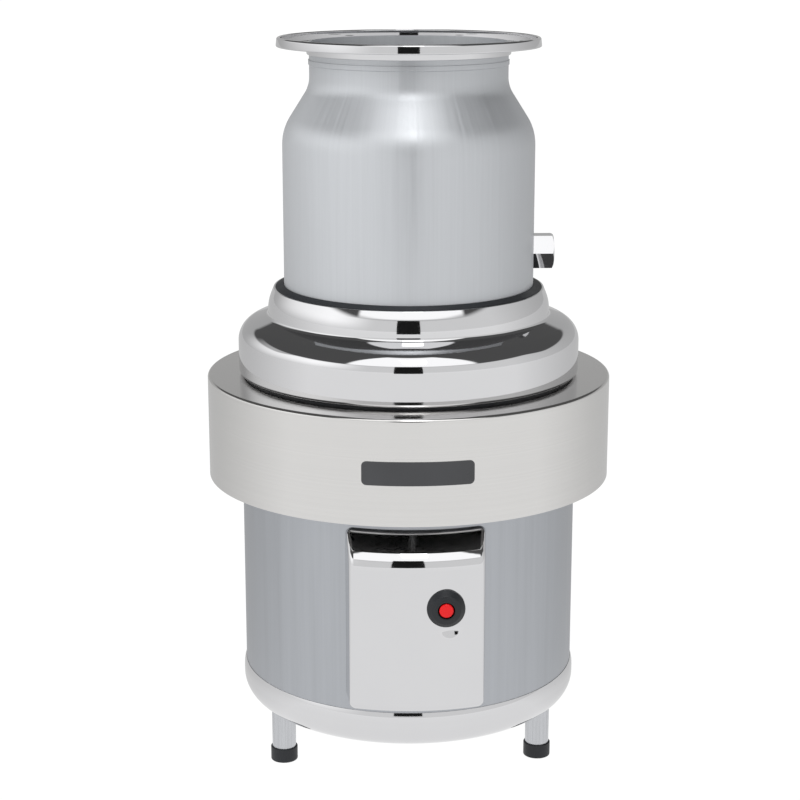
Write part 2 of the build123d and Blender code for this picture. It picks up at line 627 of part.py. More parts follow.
def lower_end_frame():
    inside = SHELL_R - SHELL_WALL
    floor = BELL_BOTTOM + BELL_WALL
    body = turned([
        (26.0, BELL_BOTTOM), (BELL_R, BELL_BOTTOM, BELL_ROUND), (BELL_R, BELL_CROWN_HEIGHT, BELL_CROWN_R),
        (SHELL_R + 0.35, SHELL_BOTTOM, 0.2), (inside, SHELL_BOTTOM), (inside, FRAME_BOTTOM),
        (inside - 5, FRAME_BOTTOM), (inside - 5, floor, 12.0), (126.0, floor, 2.0), (126.0, FRAME_BOTTOM),
        (115.0, FRAME_BOTTOM), (115.0, floor, 3.0), (36.0, floor, 3.0), (36.0, 84.0, 1.0), (26.0, 84.0)])
    rib = block((34.0, 117.0), (-2.5, 2.5), (BELL_BOTTOM + 2, 74.0))
    body += around(rib, 6, 0.0)
    envelope = turned([(0, BELL_BOTTOM), (BELL_R, BELL_BOTTOM, BELL_ROUND), (BELL_R, 73.0), (146.0, 80.0),
                       (0, 80.0)])
    for angle in LEG_ANGLES.values():
        body += at_polar(post(14.5, BELL_BOTTOM, LEG_TOP), LEG_CIRCLE_R, angle) & envelope
    pillar = at_polar(post(10.0, BELL_BOTTOM, 78.0), THROUGH_BOLT_CIRCLE_R, 0)
    for boss in around(pillar, THROUGH_BOLTS, 45.0):
        body += boss & envelope
    for angle in LEG_ANGLES.values():
        body -= at_polar(post(LEG_R, 0, LEG_TOP + 1), LEG_CIRCLE_R, angle)
    body -= around(at_polar(post(BOLT_R + 0.4, 40, 90), THROUGH_BOLT_CIRCLE_R, 0), THROUGH_BOLTS, 45.0)
    body -= around(at_polar(post(8.2, 40, 56), THROUGH_BOLT_CIRCLE_R, 0), THROUGH_BOLTS, 45.0)
    return body - around(at_polar(post(2.0, 40, 62), 31.5, 0), 3, 30.0)


def motor_through_bolts():
    bolt = hex_bolt(BOLT_R, 13.0, 50.5, 56.0, CHAMBER_BOTTOM + 7.0)
    return group(around(at_polar(bolt, THROUGH_BOLT_CIRCLE_R, 0), THROUGH_BOLTS, 45.0))


def preload_washer():
    """Disc spring that pushes the lower bearing cup upwards."""
    return turned([(21.0, 55.6), (21.9, 54.8), (25.7, 58.4), (25.7, 59.7)])


def bearing_cover():
    cover = turned([
        (0, 43.5), (37.0, 43.5, 1.2), (37.0, BELL_BOTTOM), (25.9, BELL_BOTTOM), (25.9, 54.5), (17.0, 54.5),
        (17.0, BELL_BOTTOM + 0.5), (0, BELL_BOTTOM + 0.5)])
    return cover - around(at_polar(post(2.2, 40, 50), 31.5, 0), 3, 30.0)


def pan_screw(radius, head_r, head, length):
    """Pan-headed screw that points up, with its head under z = 0 and a cross slot in it."""
    screw = turned([(0, -head), (head_r, -head, 0.6 * head), (head_r, 0), (radius, 0), (radius, length),
                    (0, length)])
    slot = block((-0.7 * head_r, 0.7 * head_r), (-0.5, 0.5), (-head - 1, -0.55 * head))
    return screw - slot - Rot(0, 0, 90) * slot


def pan_screws():
    """Five alike: three hold the bearing cover and two the terminal cover, all pointing up."""
    screw = pan_screw(2.0, 3.8, 2.4, 12.0)
    bearing = around(at_polar(Pos(0, 0, 43.5) * screw, 31.5, 0), 3, 30.0)
    cover = [Pos(x, -COVER_SCREW_Y, COVER_BOTTOM) * screw for x in (-COVER_SCREW_X, COVER_SCREW_X)]
    return group(bearing + cover)


def leg(angle):
    return at_polar(tube(LEG_R - LEG_WALL, LEG_R, FOOT_FLOOR, LEG_TOP), LEG_CIRCLE_R, angle)


def foot(angle):
    cup = turned([
        (0, 0), (FOOT_R, 0, 1.0), (FOOT_R, FOOT_HEIGHT, 1.0), (LEG_R, FOOT_HEIGHT),
        (LEG_R, FOOT_FLOOR), (0, FOOT_FLOOR)])
    return at_polar(cup, LEG_CIRCLE_R, angle)


# --- Terminal compartment ----------------------------------------------------------------------

def cover_block(inset):
    """The cover's closed outer shape, or the hollow inside it when inset is its wall."""
    face_r = COVER_FACE_R - inset
    slope = (COVER_TOP - COVER_FACE_TOP) / (COVER_FACE_R - COVER_BROW_R)
    brow_top = COVER_TOP - inset
    face_top = COVER_FACE_TOP - inset * (sqrt(1 + slope ** 2) - slope)
    back_r = 110.0
    sector = turned([
        (back_r, COVER_BOTTOM + inset), (face_r, COVER_BOTTOM + inset),
        (face_r, face_top, COVER_BROW_ROUND - inset),
        (face_r - (brow_top - face_top) / slope, brow_top, COVER_TOP_ROUND - inset), (back_r, brow_top)])
    draft = (COVER_BACK_HALF - COVER_FACE_HALF) / (COVER_CORNER_Y - COVER_SIDE_Y)
    back_half = COVER_BACK_HALF + draft * (COVER_SIDE_Y - back_r) - inset
    nose_half = COVER_BACK_HALF - draft * (COVER_FACE_R + 5.0 - COVER_SIDE_Y) - inset
    nose_y = -(COVER_FACE_R + 5.0)
    plan = make_face(Polyline(
        (-nose_half, nose_y), (-back_half, -back_r), (back_half, -back_r), (nose_half, nose_y), close=True))
    solid = (sector & extrude(plan, 400.0)).solids().sort_by(Axis.Y)[0]
    return fillet(cover_rim(solid, face_r), COVER_EDGE - inset)


def cover_rim(solid, face_r):
    """Edges of the cover's two sides, and the lower edge of its face."""
    rim = []
    for edge in solid.edges():
        points = [edge.position_at(share) for share in (0.0, 0.5, 1.0)]
        at_side = all(abs(point.X) > 50.0 for point in points) and edge.center().Y < -130.0
        low = all(abs(point.Z - points[0].Z) < 0.01 and point.Z < 100.0 for point in points)
        on_face = all(abs(sqrt(point.X ** 2 + point.Y ** 2) - face_r) < 0.01 for point in points)
        if at_side or (low and on_face):
            rim.append(edge)
    return rim


def button_axis(shape):
    """Moves a shape turned about Z onto the button's axis, with its +Z pointing out of the face."""
    return to_front(shape, BUTTON_X, -BUTTON_Y, BUTTON_HEIGHT)


def dimple_ball(radius):
    """Ball that presses the finger dimple under the button into the cover's face."""
    reach = COVER_FACE_R + sqrt(DIMPLE_BALL_R ** 2 - DIMPLE_R ** 2)
    angle = degrees(asin(DIMPLE_X / COVER_FACE_R)) - 90.0
    return at_polar(Pos(0, 0, DIMPLE_HEIGHT) * Sphere(radius), reach, angle)


def terminal_cover():
    """Pressed steel cover with a curved face, a hole for the button's boot and a dimple under it."""
    outer = cover_block(0.0) - dimple_ball(DIMPLE_BALL_R)
    middle = Vector(DIMPLE_X, -sqrt(COVER_FACE_R ** 2 - DIMPLE_X ** 2), DIMPLE_HEIGHT)
    rim = [edge for edge in outer.edges() if (edge.position_at(0.5) - middle).length < DIMPLE_R + 1.0]
    cover = fillet(rim, DIMPLE_EDGE) - (cover_block(COVER_WALL) - dimple_ball(DIMPLE_BALL_R + COVER_WALL))
    cover -= button_axis(post(BOOT_NECK_R, -10, 10))
    cover -= post(COVER_SEAT_R, 50, 300)
    for x in (-COVER_SCREW_X, COVER_SCREW_X):
        cover -= Pos(x, -COVER_SCREW_Y, 0) * post(2.2, COVER_BOTTOM - 2, COVER_BOTTOM + 4)
    return cover


def terminal_cover_gasket():
    rim = cover_block(0.0) - cover_block(4.0)
    return rim & tube(SHELL_R, COVER_SEAT_R, 50, 300)


def terminal_box():
    """Tray in the shell's opening, with two tabs for the cover's screws."""
    x = OPENING_HALF - 1.0
    low = OPENING_BOTTOM + 1.0
    high = OPENING_TOP - 1.0
    tray = block((-x, x), (-160, -BOX_BACK_Y), (low, high))
    inner_x = x - BOX_WALL
    tray -= block((-inner_x, inner_x), (-161, -BOX_BACK_Y - BOX_WALL), (low + BOX_WALL, high - BOX_WALL))
    tray &= post(COVER_SEAT_R + 1.5, 50, 300)
    for side in (-COVER_SCREW_X, COVER_SCREW_X):
        limits = (side - 6.0, side + 6.0)
        foot_low = COVER_BOTTOM + COVER_WALL
        web = block(limits, (-156.0, -146.0), (foot_low, low + BOX_WALL)) - post(COVER_SEAT_R, 50, 300)
        pad = block(limits, (-COVER_SCREW_Y - 4.0, -146.0), (foot_low, foot_low + 4.0))
        pad -= post(COVER_SEAT_R, 50, 300)
        tray += web + pad
        tray -= Pos(side, -COVER_SCREW_Y, 0) * post(2.0, foot_low - 1, foot_low + 12)
    ground_hole = to_front(post(2.5, BOX_BACK_Y - 2, BOX_BACK_Y + 4), 0, 0, GROUND_HEIGHT)
    return tray - ground_hole


def overload_protector():
    front = -150.0
    back = -BOX_BACK_Y - BOX_WALL
    body = block((BUTTON_X - 15, BUTTON_X + 15), (front, back), (BUTTON_HEIGHT - 15, BUTTON_HEIGHT + 15))
    body = fillet(body.edges().filter_by(Axis.Y), 3.0)
    collar = to_front(post(6.0, -front - 0.5, 156.0), BUTTON_X, 0, BUTTON_HEIGHT)
    guide = to_front(post(STEM_R + RUNNING_FIT, 135.0, 160.0), BUTTON_X, 0, BUTTON_HEIGHT)
    return body + collar - guide


def reset_button():
    cap = turned([(0, -7.0), (BUTTON_R, -7.0), (BUTTON_R, 6.2, 1.5), (0, 6.5)])
    stem = post(STEM_R, -32.0, -6.0)
    return button_axis(cap + stem)


def button_boot():
    """Rubber nose that grips the hole in the cover, with the button sunk in its tip."""
    nose = turned([
        (BOOT_BORE_R, -6.0), (BOOT_R, -6.0), (BOOT_R, 0.8, 0.5), (12.2, 4.6, 1.5), (8.2, 6.2, 0.8),
        (BOOT_BORE_R, 5.8)])
    neck = tube(BOOT_BORE_R, BOOT_NECK_R, -6.0, 0.0)
    return button_axis(nose) - post(COVER_FACE_R, 150, 220) + button_axis(neck)


def start_capacitor():
    can = turned([(0, 110.0), (16.0, 110.0, 1.5), (16.0, 182.0, 1.5), (0, 182.0)])
    can += [Pos(x, 0, 0) * block((-3, 3), (-0.5, 0.5), (181.0, 190.0)) for x in (-6.0, 6.0)]
    return Pos(-25.0, -145.5, 0) * can


def capacitor_clip():
    strap = tube(16.0, 17.2, 140.0, 150.0)
    foot_y = 145.5 - BOX_BACK_Y - BOX_WALL
    strap += block((-19.0, 22.0), (foot_y - 1.2, foot_y), (140.0, 150.0)) - post(16.0, 130, 160)
    return Pos(-25.0, -145.5, 0) * strap


def terminal_block():
    back = -BOX_BACK_Y - BOX_WALL
    base = block((4.0, 42.0), (back - 14.0, back), (112.0, 132.0))
    walls = [block((x - 1.0, x + 1.0), (back - 20.0, back), (112.0, 132.0)) for x in (5.0, 17.0, 29.0, 41.0)]
    base += walls
    for x in (11.0, 23.0, 35.0):
        base -= to_front(post(3.0, -back + 8.0, -back + 30.0), x, 0, 122.0)
    return base


def ground_screw():
    back = -BOX_BACK_Y - BOX_WALL
    screw = hexagon(10.0, 0.0, 4.0) + post(2.5, -1.5, 0.5) - block((-4, 4), (-0.6, 0.6), (2.5, 5))
    return to_front(screw, 0, back, GROUND_HEIGHT)


def save(name, shape):
    """Writes one piece with the origin at the flange's gasket seat."""
    export_step(Pos(0, 0, -SEAT_HEIGHT) * shape, os.path.join("parts", name + ".step"))


def main():
    os.makedirs("parts", exist_ok=True)
    makers = [
        mounting_flange, hopper, water_inlet_fitting, hopper_mount_ring, grind_housing, shredder_ring,
        housing_gasket, housing_bolts, trim_band, name_plate, drain_chamber, drain_gasket, drain_outlet,
        drain_bolts, shaft_seal, shaft, rotor_core, rotor_cage, cooling_fan, bearing_lock_nut, flinger,
        turntable, turntable_nut, lug_pins, motor_shell, conduit_bushing, stator_frame, stator_core,
        stator_windings, lower_end_frame, motor_through_bolts, preload_washer, bearing_cover, pan_screws,
        terminal_cover, terminal_cover_gasket, terminal_box, overload_protector, reset_button,
        button_boot, start_capacitor, capacitor_clip, terminal_block, ground_screw]
    for maker in makers:
        save(maker.__name__, maker())
    for place, bearing in (("upper", UPPER_BEARING), ("lower", LOWER_BEARING)):
        save(place + "_bearing_cup", bearing.cup())
        save(place + "_bearing_cone", bearing.cone())
        save(place + "_bearing_rollers", bearing.rollers())
        save(place + "_bearing_cage", bearing.cage())
    for side, angle in LEG_ANGLES.items():
        save("leg_" + side, leg(angle))
        save("foot_" + side, foot(angle))
    for number in (1, 2):
        save("swivel_lug_" + str(number), Rot(0, 0, 180.0 * (number - 1)) * swivel_lug())


main()
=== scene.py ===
import json
from math import ceil, cos, pi, radians, sin, tan

import bmesh
import bpy
from mathutils import Matrix, Vector


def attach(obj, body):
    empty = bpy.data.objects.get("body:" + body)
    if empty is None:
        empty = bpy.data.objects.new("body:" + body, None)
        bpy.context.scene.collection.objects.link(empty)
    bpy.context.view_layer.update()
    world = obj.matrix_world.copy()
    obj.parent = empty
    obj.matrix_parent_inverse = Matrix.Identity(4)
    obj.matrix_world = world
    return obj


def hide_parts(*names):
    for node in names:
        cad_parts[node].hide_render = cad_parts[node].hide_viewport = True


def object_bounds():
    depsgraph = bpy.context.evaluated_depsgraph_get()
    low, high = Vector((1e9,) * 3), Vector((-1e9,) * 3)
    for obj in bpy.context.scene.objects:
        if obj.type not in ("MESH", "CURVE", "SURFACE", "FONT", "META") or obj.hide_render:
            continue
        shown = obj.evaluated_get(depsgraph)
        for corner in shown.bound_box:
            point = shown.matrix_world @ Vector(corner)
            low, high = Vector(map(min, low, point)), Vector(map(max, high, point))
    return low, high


# Kitchen garbage disposal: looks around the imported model. Metres, +Z up, -Y the front.
# Outlines are given in millimetres, as (radius, height above the floor, corner radius).

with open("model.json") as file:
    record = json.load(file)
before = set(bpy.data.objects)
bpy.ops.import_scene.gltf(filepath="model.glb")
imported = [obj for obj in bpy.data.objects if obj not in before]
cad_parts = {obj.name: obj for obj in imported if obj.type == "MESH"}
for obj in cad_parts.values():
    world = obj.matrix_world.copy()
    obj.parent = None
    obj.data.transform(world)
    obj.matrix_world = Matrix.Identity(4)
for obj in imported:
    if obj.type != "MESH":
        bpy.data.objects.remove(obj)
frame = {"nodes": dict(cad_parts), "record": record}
CAD_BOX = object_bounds()
FLOOR = CAD_BOX[0].z

MM = 0.001
AROUND = 224               # faces around a turned piece
HOLE_FACES = 40
BOSS_FACES = 48
ARC_STEP = radians(5.0)    # turn from face to face along a rounded corner
SHARP = radians(32.0)      # edges that turn more than this stay sharp


# --- Mesh helpers ------------------------------------------------------------------------------

def rounded(outline):
    """Points of a closed outline whose corners with a third value are rounded to that radius."""
    points = []
    count = len(outline)
    for index, corner in enumerate(outline):
        here = Vector(corner[:2])
        radius = corner[2] if len(corner) > 2 else 0.0
        if radius == 0.0:
            points.append(here)
            continue
        before = (Vector(outline[index - 1][:2]) - here).normalized()
        after = (Vector(outline[(index + 1) % count][:2]) - here).normalized()
        half = before.angle(after) / 2
        centre = here + (before + after).normalized() * (radius / sin(half))
        start = here + before * (radius / tan(half)) - centre
        turn = start.angle_signed(here + after * (radius / tan(half)) - centre)
        steps = max(2, ceil(abs(turn) / ARC_STEP))
        for step in range(steps + 1):
            angle = -turn * step / steps
            points.append(centre + Vector((start.x * cos(angle) - start.y * sin(angle),
                                           start.x * sin(angle) + start.y * cos(angle))))
    return points


def add_turned(mesh, outline, centre=(0.0, 0.0), around=AROUND):
    """Adds a closed outline, turned about an upright axis, to a bmesh."""
    points = rounded(outline)
    rings = []
    for step in range(around):
        angle = 2 * pi * step / around
        rings.append([
            mesh.verts.new(((centre[0] + point.x * cos(angle)) * MM, (centre[1] + point.x * sin(angle)) * MM,
                            FLOOR + point.y * MM)) for point in points])
    for step, ring in enumerate(rings):
        following = rings[(step + 1) % around]
        for index in range(len(points)):
            after = (index + 1) % len(points)
            mesh.faces.new((ring[index], following[index], following[after], ring[after]))


def piece(name, mesh, slot, body="root", stands_for=()):
    """Turns a bmesh into a named object that rides on a body and stands for CAD nodes."""
    bmesh.ops.recalc_face_normals(mesh, faces=mesh.faces[:])
    data = bpy.data.meshes.new(name)
    mesh.to_mesh(data)
    mesh.free()
    data.shade_smooth()
    data.set_sharp_from_angle(angle=SHARP)
    made = bpy.data.objects.new(name, data)
    bpy.context.scene.collection.objects.link(made)
    data.materials.append(MATERIALS[slot])
    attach(made, body)
    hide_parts(*stands_for)
    return made


def cut(target, cutters):
    """Cuts closed bmesh shapes out of a piece for good."""
    for cutter in cutters:
        bmesh.ops.recalc_face_normals(cutter, faces=cutter.faces[:])
        data = bpy.data.meshes.new("cutter")
        cutter.to_mesh(data)
        cutter.free()
        tool = bpy.data.objects.new("cutter", data)
        bpy.context.scene.collection.objects.link(tool)
        modifier = target.modifiers.new("cut", "BOOLEAN")
        modifier.operation = "DIFFERENCE"
        modifier.solver = "EXACT"
        modifier.object = tool
        graph = bpy.context.evaluated_depsgraph_get()
        result = bpy.data.meshes.new_from_object(target.evaluated_get(graph))
        target.modifiers.clear()
        old = target.data
        target.data = result
        bpy.data.meshes.remove(old)
        bpy.data.objects.remove(tool)
        bpy.data.meshes.remove(data)
    target.data.shade_smooth()
    target.data.set_sharp_from_angle(angle=SHARP)


def rod(radius, start, end, around=96):
    """Closed cylinder between two points given in millimetres above the floor."""
    start = Vector(start) * MM + Vector((0, 0, FLOOR))
    end = Vector(end) * MM + Vector((0, 0, FLOOR))
    along = end - start
    turn = along.to_track_quat("Z", "Y").to_matrix().to_4x4()
    mesh = bmesh.new()
    bmesh.ops.create_cone(
        mesh, cap_ends=True, segments=around, radius1=radius * MM, radius2=radius * MM, depth=along.length,
        matrix=Matrix.Translation((start + end) / 2) @ turn)
    return mesh


def polar(radius, angle):
    """Place in millimetres at a radius and an angle in degrees."""
    return radius * cos(radians(angle)), radius * sin(radians(angle))


def sixfold(radius):
    """Six places in millimetres, evenly spaced on a circle about the axis."""
    return [polar(radius, 60.0 * number) for number in range(6)]


# --- Materials ---------------------------------------------------------------------------------
# Patterns are sized by how much they repeat per metre along X, Y and Z.

COAT_ROUGHNESS = 0.08
SMUDGES = (9.0, 9.0, 9.0)
BRUSH_CLOUDS = (14.0, 14.0, 5.0)
CLOUD_SHARE = 0.35
MOULD_CLOUDS = (30.0, 30.0, 30.0)
WIRES = (500.0, 500.0, 1400.0)


def principled(material):
    return material.node_tree.nodes["Principled BSDF"]


def shader(name, colour, metallic, roughness, coat=0.0, specular=0.5):
    """New material with its constant values set on the shader."""
    material = bpy.data.materials.new(name)
    material.use_nodes = True
    surface = principled(material)
    surface.inputs["Base Color"].default_value = (*colour, 1)
    surface.inputs["Metallic"].default_value = metallic
    surface.inputs["Roughness"].default_value = roughness
    surface.inputs["Coat Weight"].default_value = coat
    surface.inputs["Coat Roughness"].default_value = COAT_ROUGHNESS
    surface.inputs["Specular IOR Level"].default_value = specular
    material.diffuse_color = (*colour, 1)
    return material


def link(material, source, target):
    material.node_tree.links.new(source, target)


def vector_math(material, operation, *values):
    """Reckons with vectors, each another node's output or a constant triple."""
    made = material.node_tree.nodes.new("ShaderNodeVectorMath")
    made.operation = operation
    for socket, value in zip(made.inputs, values):
        if isinstance(value, tuple):
            socket.default_value = value
        else:
            link(material, value, socket)
    return made.outputs["Value" if operation == "LENGTH" else "Vector"]


def place(material, stretch, turned=False, upright=False):
    """Position on the object, stretched, for a pattern to follow.

    Turned: (radius, 0, height), so that patterns run in rings. Upright: (direction seen from above,
    height), so that patterns run straight up whatever the radius.
    """
    nodes = material.node_tree.nodes
    coordinates = nodes.new("ShaderNodeTexCoord").outputs["Object"]
    if turned or upright:
        parts = nodes.new("ShaderNodeSeparateXYZ")
        link(material, coordinates, parts.inputs[0])
        flat = vector_math(material, "MULTIPLY", coordinates, (1, 1, 0))
        rebuilt = nodes.new("ShaderNodeCombineXYZ")
        link(material, parts.outputs["Z"], rebuilt.inputs["Z"])
    if turned:
        link(material, vector_math(material, "LENGTH", flat), rebuilt.inputs["X"])
        coordinates = rebuilt.outputs[0]
    if upright:
        unit = vector_math(material, "NORMALIZE", flat)
        coordinates = vector_math(material, "ADD", unit, rebuilt.outputs[0])
    return vector_math(material, "MULTIPLY", coordinates, stretch)


def noise(material, position, detail=4.0, roughness=0.55):
    made = material.node_tree.nodes.new("ShaderNodeTexNoise")
    made.inputs["Scale"].default_value = 1.0
    made.inputs["Detail"].default_value = detail
    made.inputs["Roughness"].default_value = roughness
    link(material, position, made.inputs["Vector"])
    return made.outputs["Fac"]


def spread(material, value, low, high, start=0.3, end=0.7):
    """Maps a pattern's middle range onto low..high."""
    made = material.node_tree.nodes.new("ShaderNodeMapRange")
    made.inputs["From Min"].default_value = start
    made.inputs["From Max"].default_value = end
    made.inputs["To Min"].default_value = low
    made.inputs["To Max"].default_value = high
    link(material, value, made.inputs["Value"])
    return made.outputs["Result"]


def tint(material, value, dark, light):
    """Colours a pattern from dark to light and gives the shader that colour."""
    mix = material.node_tree.nodes.new("ShaderNodeMix")
    mix.data_type = "RGBA"
    mix.inputs["A"].default_value = (*dark, 1)
    mix.inputs["B"].default_value = (*light, 1)
    link(material, value, mix.inputs["Factor"])
    link(material, mix.outputs["Result"], principled(material).inputs["Base Color"])


def rough(material, value):
    link(material, value, principled(material).inputs["Roughness"])


def bump(material, value, depth):
    """Height pattern, with its depth in metres."""
    made = material.node_tree.nodes.new("ShaderNodeBump")
    made.inputs["Distance"].default_value = depth
    made.inputs["Strength"].default_value = 1.0
    link(material, value, made.inputs["Height"])
    link(material, made.outputs["Normal"], principled(material).inputs["Normal"])


def shade(colour, share):
    """A colour made darker or lighter."""
    return tuple(min(1.0, part * share) for part in colour)


def polished(name, colour, roughness):
    """Mirror finish with faint smudges that dull it here and there."""
    material = shader(name, colour, 1.0, roughness)
    smudge = noise(material, place(material, SMUDGES), 5.0, 0.6)
    rough(material, spread(material, smudge, roughness * 0.8, roughness * 1.6))
    tint(material, spread(material, smudge, 0.0, 1.0), shade(colour, 0.985), shade(colour, 1.01))
    return material


def brushed(name, colour, roughness, stretch, turned=False, upright=False, contrast=0.08, depth=2e-6,
            metallic=1.0):
    """Metal with fine parallel brush lines, lying across the direction of the largest stretch."""
    material = shader(name, colour, metallic, roughness)
    lines = noise(material, place(material, stretch, turned, upright), 3.0, 0.65)
    cloud = noise(material, place(material, BRUSH_CLOUDS), 3.0)
    add = material.node_tree.nodes.new("ShaderNodeMath")
    add.operation = "MULTIPLY_ADD"
    add.inputs[1].default_value = CLOUD_SHARE
    link(material, cloud, add.inputs[0])
    link(material, lines, add.inputs[2])
    tint(material, spread(material, add.outputs[0], 0.0, 1.0, 0.45, 0.9),
         shade(colour, 1 - contrast), shade(colour, 1 + contrast / 2))
    rough(material, spread(material, lines, roughness * 0.85, roughness * 1.2))
    bump(material, lines, depth)
    return material


def cast(name, colour, metallic, roughness, grain, depth):
    """Cast or sandy surface."""
    material = shader(name, colour, metallic, roughness)
    grains = noise(material, place(material, (grain, grain, grain)), 6.0, 0.6)
    tint(material, spread(material, grains, 0.0, 1.0), shade(colour, 0.82), shade(colour, 1.1))
    rough(material, spread(material, grains, roughness * 0.85, min(1.0, roughness * 1.2)))
    bump(material, grains, depth)
    return material


def moulded(name, colour, roughness, grain=900.0, depth=6e-6, coat=0.0, specular=0.5):
    """Rubber or plastic with a fine moulded grain and slight unevenness in its gloss."""
    material = shader(name, colour, 0.0, roughness, coat=coat, specular=specular)
    grains = noise(material, place(material, (grain, grain, grain)), 3.0)
    cloud = noise(material, place(material, MOULD_CLOUDS), 4.0)
    tint(material, spread(material, cloud, 0.0, 1.0), shade(colour, 0.85), shade(colour, 1.25))
    rough(material, spread(material, cloud, roughness * 0.85, min(1.0, roughness * 1.15)))
    bump(material, grains, depth)
    return material


def wound(name, colour):
    """Enamelled copper wire laid in bundles."""
    material = shader(name, colour, 0.75, 0.32, coat=0.5)
    wires = noise(material, place(material, WIRES), 2.0)
    tint(material, spread(material, wires, 0.0, 1.0), shade(colour, 0.45), shade(colour, 1.25))
    bump(material, wires, 2e-4)
    return material


MATERIALS = {
    "polished_metal": polished("polished_metal", (0.635, 0.635, 0.645), 0.04),
    "satin_aluminium": brushed(
        "satin_aluminium", (0.485, 0.50, 0.52), 0.38, (46.0, 46.0, 6.0), upright=True, contrast=0.05,
        depth=2e-7, metallic=0.6),
    "band_steel": brushed(
        "band_steel", (0.635, 0.628, 0.618), 0.14, (500.0, 1.0, 900.0), turned=True, contrast=0.04,
        depth=8e-7),
    "shell_steel": brushed(
        "shell_steel", (0.41, 0.425, 0.45), 0.36, (160.0, 160.0, 3.0), contrast=0.08, depth=1e-6),
    "leg_steel": brushed("leg_steel", (0.52, 0.53, 0.55), 0.28, (700.0, 700.0, 15.0), contrast=0.15),
    "plate_dark": moulded("plate_dark", (0.018, 0.019, 0.022), 0.30, coat=0.4),
    "cast_aluminium": cast("cast_aluminium", (0.50, 0.51, 0.52), 0.9, 0.48, 420.0, 6e-5),
    "wear_steel": brushed(
        "wear_steel", (0.46, 0.46, 0.47), 0.32, (900.0, 1.0, 900.0), turned=True, contrast=0.2),
    "bearing_steel": brushed(
        "bearing_steel", (0.62, 0.62, 0.63), 0.20, (1200.0, 1.0, 1200.0), turned=True, contrast=0.1),
    "fastener_steel": brushed(
        "fastener_steel", (0.58, 0.58, 0.57), 0.28, (300.0, 300.0, 300.0), contrast=0.2),
    "core_iron": cast("core_iron", (0.12, 0.12, 0.125), 0.6, 0.5, 600.0, 3e-5),
    "winding_copper": wound("winding_copper", (0.55, 0.25, 0.10)),
    "brass_fitting": brushed("brass_fitting", (0.70, 0.52, 0.24), 0.25, (400.0, 400.0, 400.0), contrast=0.15),
    "black_rubber": moulded("black_rubber", (0.012, 0.0135, 0.016), 0.50, specular=0.35),
    "button_red": moulded("button_red", (0.72, 0.010, 0.012), 0.35, 300.0, 2e-6, specular=0.25),
    "black_plastic": moulded("black_plastic", (0.025, 0.025, 0.028), 0.42),
    "box_steel": brushed("box_steel", (0.60, 0.61, 0.62), 0.3, (200.0, 200.0, 200.0), contrast=0.12),
}

slot_of = {row["node"]: row["material_slot"] for row in frame["record"]["subparts"]}
for node, thing in frame["nodes"].items():
    thing.data.materials.clear()
    thing.data.materials.append(MATERIALS[slot_of[node]])


# --- Turned metal: the flange, the hopper, the housing and the band -----------------------------
# Millimetres. Named here are the radii and heights that pieces share or that a cut has to meet.

SEAT = 636.0               # sink mounting face, and the hopper's rim
FLANGE_TOP = 640.0
FLANGE_UNDERSIDE = 632.0
COLLAR_FOOT = 625.3
FLANGE_HOLES_R = 99.0
FLANGE_HOLE_R = 4.0
THROAT_R = 84.15           # inside of the hopper's neck
NECK_R = 85.65             # outside of the neck, and inside of the flange's collar
HOPPER_R = 109.6
HOPPER_FOOT = 416.0
INLET_HEIGHT = 454.0
INLET_HOLE_R = 12.0
RING_R = 104.5             # inside of the rubber mount ring
RING_FOOT = 410.0
LIP_R = 117.4              # outside of the mount ring, inside of the housing's lip
HOUSING_FOOT = 349.0
BOSS_TOP = 381.0
BOSS_HOLE_R = 4.0
BOSS_R = 8.0
HOUSING_BOLTS_R = 131.5
BAND_R = 178.3
BAND_TOP = 347.6
BAND_FOOT = 257.2
BAND_HOLE_R = 4.5
DRAIN_HEIGHT = 299.5
DRAIN_NOTCH_R = 45.2       # half the width of the band's rear notch, and its rounded top
DRAIN_FACES = 128


def mounting_flange():
    mesh = bmesh.new()
    add_turned(mesh, [
        (NECK_R, SEAT), (110.0, SEAT), (110.0, FLANGE_TOP, 1.0), (113.2, FLANGE_TOP, 2.0),
        (114.0, FLANGE_UNDERSIDE, 1.0), (88.5, FLANGE_UNDERSIDE, 1.5), (87.6, COLLAR_FOOT, 1.0),
        (NECK_R, COLLAR_FOOT)])
    made = piece("flange", mesh, "polished_metal", stands_for=["mounting_flange"])
    cut(made, [rod(FLANGE_HOLE_R, (x, y, 625.0), (x, y, 645.0), HOLE_FACES)
               for x, y in sixfold(FLANGE_HOLES_R)])


def hopper():
    mesh = bmesh.new()
    add_turned(mesh, [
        (THROAT_R, SEAT), (NECK_R, SEAT), (NECK_R, 621.0), (86.4, 621.0, 0.3), (86.4, 617.0, 0.3),
        (NECK_R, 616.4), (NECK_R, 598.7, 26.0), (HOPPER_R, 561.2, 44.0), (HOPPER_R, HOPPER_FOOT, 0.8),
        (106.6, HOPPER_FOOT, 0.8), (106.6, 562.5, 40.0), (THROAT_R, 597.5, 22.0)])
    made = piece("hopper_body", mesh, "satin_aluminium", stands_for=["hopper"])
    cut(made, [rod(INLET_HOLE_R, (95.0, 0.0, INLET_HEIGHT), (118.0, 0.0, INLET_HEIGHT))])


def mount_ring():
    mesh = bmesh.new()
    add_turned(mesh, [
        (RING_R, RING_FOOT), (LIP_R, RING_FOOT), (LIP_R, 424.4, 0.8), (HOPPER_R, 427.2, 0.8),
        (HOPPER_R, HOPPER_FOOT), (RING_R, HOPPER_FOOT)])
    piece("mount_ring", mesh, "black_rubber", stands_for=["hopper_mount_ring"])


